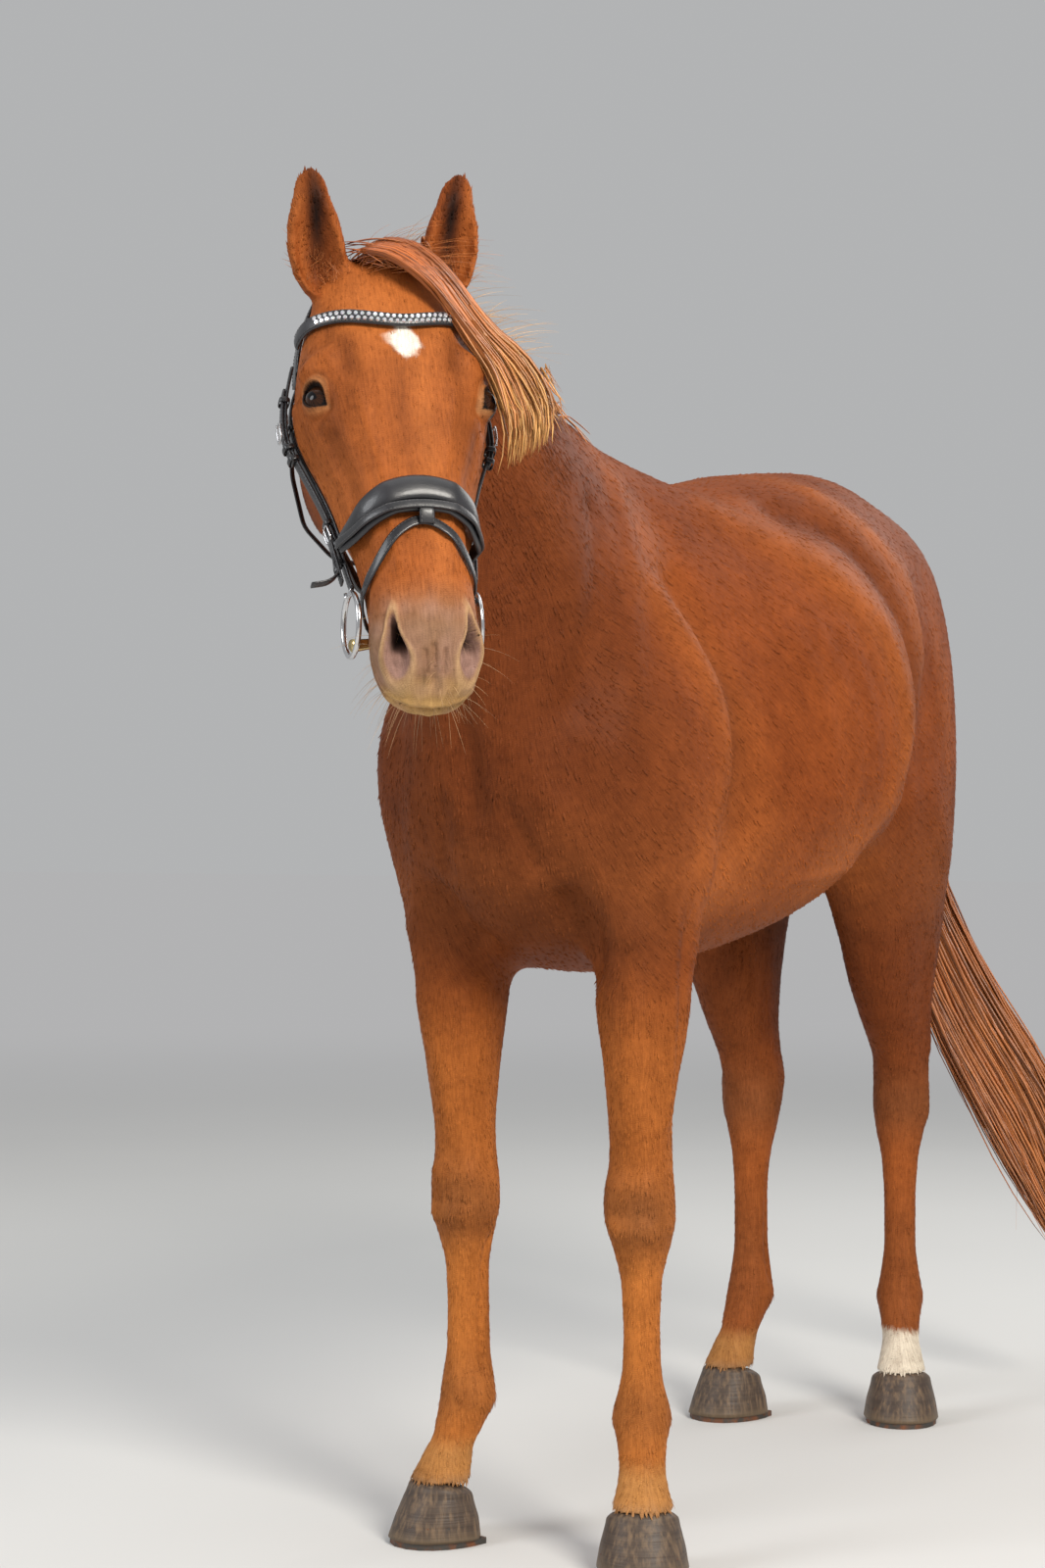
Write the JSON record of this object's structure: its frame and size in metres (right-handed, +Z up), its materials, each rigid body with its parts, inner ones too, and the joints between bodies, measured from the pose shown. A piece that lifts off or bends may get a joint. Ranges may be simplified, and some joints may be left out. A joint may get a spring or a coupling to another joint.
{
  "type": "standing bridled chestnut riding horse",
  "caption": "Life-size still model of a standing chestnut riding horse in a bridle, head turned to its left and tail blown to one side.",
  "frame": {"origin": "centre of the bounding box's bottom face, on the ground under the horse's belly", "axes": "+Z up, +Y from the chest towards the tail, so the horse faces -Y, and +X towards the horse's left side"},
  "size_m": [0.717, 2.3756, 1.901],
  "materials": {
    "coat": "short glossy chestnut hair",
    "dark_coat": "short darker chestnut hair over the joints",
    "white_coat": "short white hair on one pastern",
    "muzzle_skin": "thinly haired grey-brown skin",
    "long_hair": "coarse straight chestnut hair, paler at the ends",
    "eye": "wet and glossy, very dark brown",
    "horn": "weathered grey-brown horn with faint rings",
    "shoe_iron": "worn iron with some rust",
    "bridle_leather": "smooth black leather with a soft sheen",
    "bit_steel": "stainless steel, lightly worn"
  },
  "bodies": {
    "root": {"head": "coat", "neck": "coat", "forehand": "coat", "barrel": "coat", "hindquarters": "coat", "dock": "coat", "ear_left": "coat", "ear_right": "coat", "forearm_fore_left": "coat", "forearm_fore_right": "coat", "cannon_fore_left": "coat", "cannon_fore_right": "coat", "pastern_fore_left": "coat", "pastern_fore_right": "coat", "gaskin_hind_left": "coat", "gaskin_hind_right": "coat", "cannon_hind_left": "coat", "cannon_hind_right": "coat", "pastern_hind_right": "coat", "knee_fore_left": "dark_coat", "knee_fore_right": "dark_coat", "hock_hind_left": "dark_coat", "hock_hind_right": "dark_coat", "pastern_hind_left": "white_coat", "muzzle": "muzzle_skin", "mane": "long_hair", "forelock": "long_hair", "tail_hair": "long_hair", "eye_left": "eye", "eye_right": "eye", "hoof_fore_left": "horn", "hoof_fore_right": "horn", "hoof_hind_left": "horn", "hoof_hind_right": "horn", "shoe_fore_left": "shoe_iron", "shoe_fore_right": "shoe_iron", "shoe_hind_left": "shoe_iron", "shoe_hind_right": "shoe_iron", "noseband": "bridle_leather", "flash_strap": "bridle_leather", "browband": "bridle_leather", "headpiece": "bridle_leather", "throatlash": "bridle_leather", "cheekpiece_left": "bridle_leather", "cheekpiece_right": "bridle_leather", "noseband_hanger_left": "bridle_leather", "noseband_hanger_right": "bridle_leather", "bit_left": "bit_steel", "bit_right": "bit_steel"}
  },
  "joints": []
}
